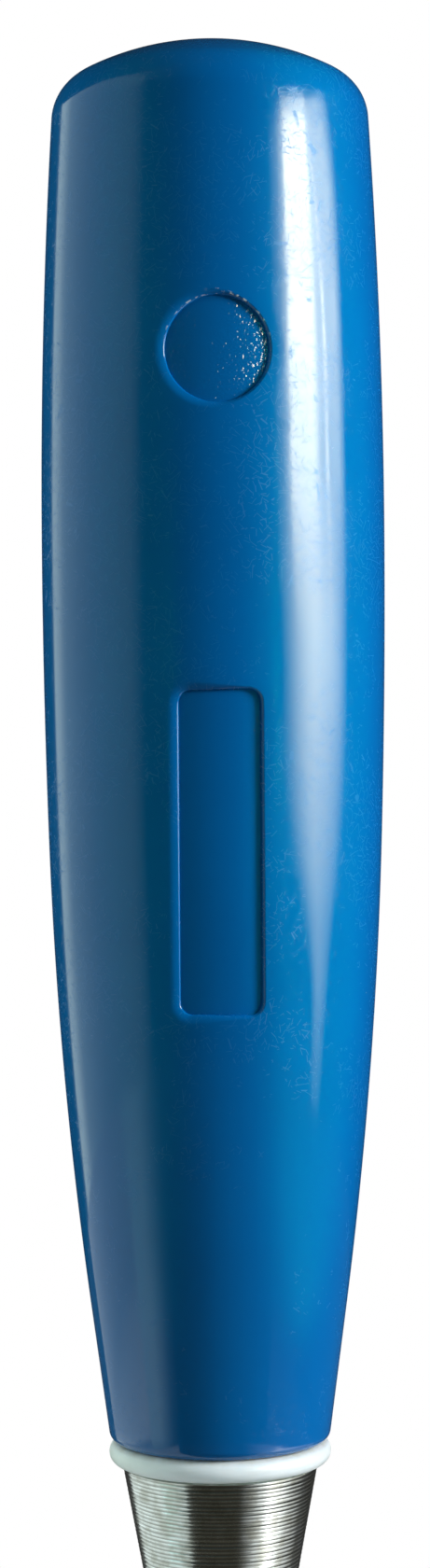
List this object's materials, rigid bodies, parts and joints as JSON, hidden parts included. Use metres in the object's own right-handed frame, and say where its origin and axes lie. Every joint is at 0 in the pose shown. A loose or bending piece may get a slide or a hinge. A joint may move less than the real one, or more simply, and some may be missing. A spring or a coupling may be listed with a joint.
{
  "type": "bevel edge chisel",
  "caption": "Bench chisel with a domed blue moulded handle, a white shock washer, a conical turned bolster and a bevel edged steel blade.",
  "frame": {"origin": "on the tool's axis at the height of the cutting edge, the lowest point", "axes": "+Z along the tool from the cutting edge to the head, +X across the blade, -Y out of the front that carries the bevels and the recesses, +Y out of the flat back"},
  "size_m": [0.032, 0.032, 0.2631],
  "materials": {
    "handle_plastic": "glossy moulded plastic with fine wear",
    "washer_plastic": "satin off-white moulded plastic",
    "bolster_steel": "lathe turned steel with fine circular grooves",
    "blade_steel": "surface ground steel"
  },
  "bodies": {
    "root": {"handle": "handle_plastic", "shock_washer": "washer_plastic", "bolster": "bolster_steel", "blade": "blade_steel"}
  },
  "joints": []
}
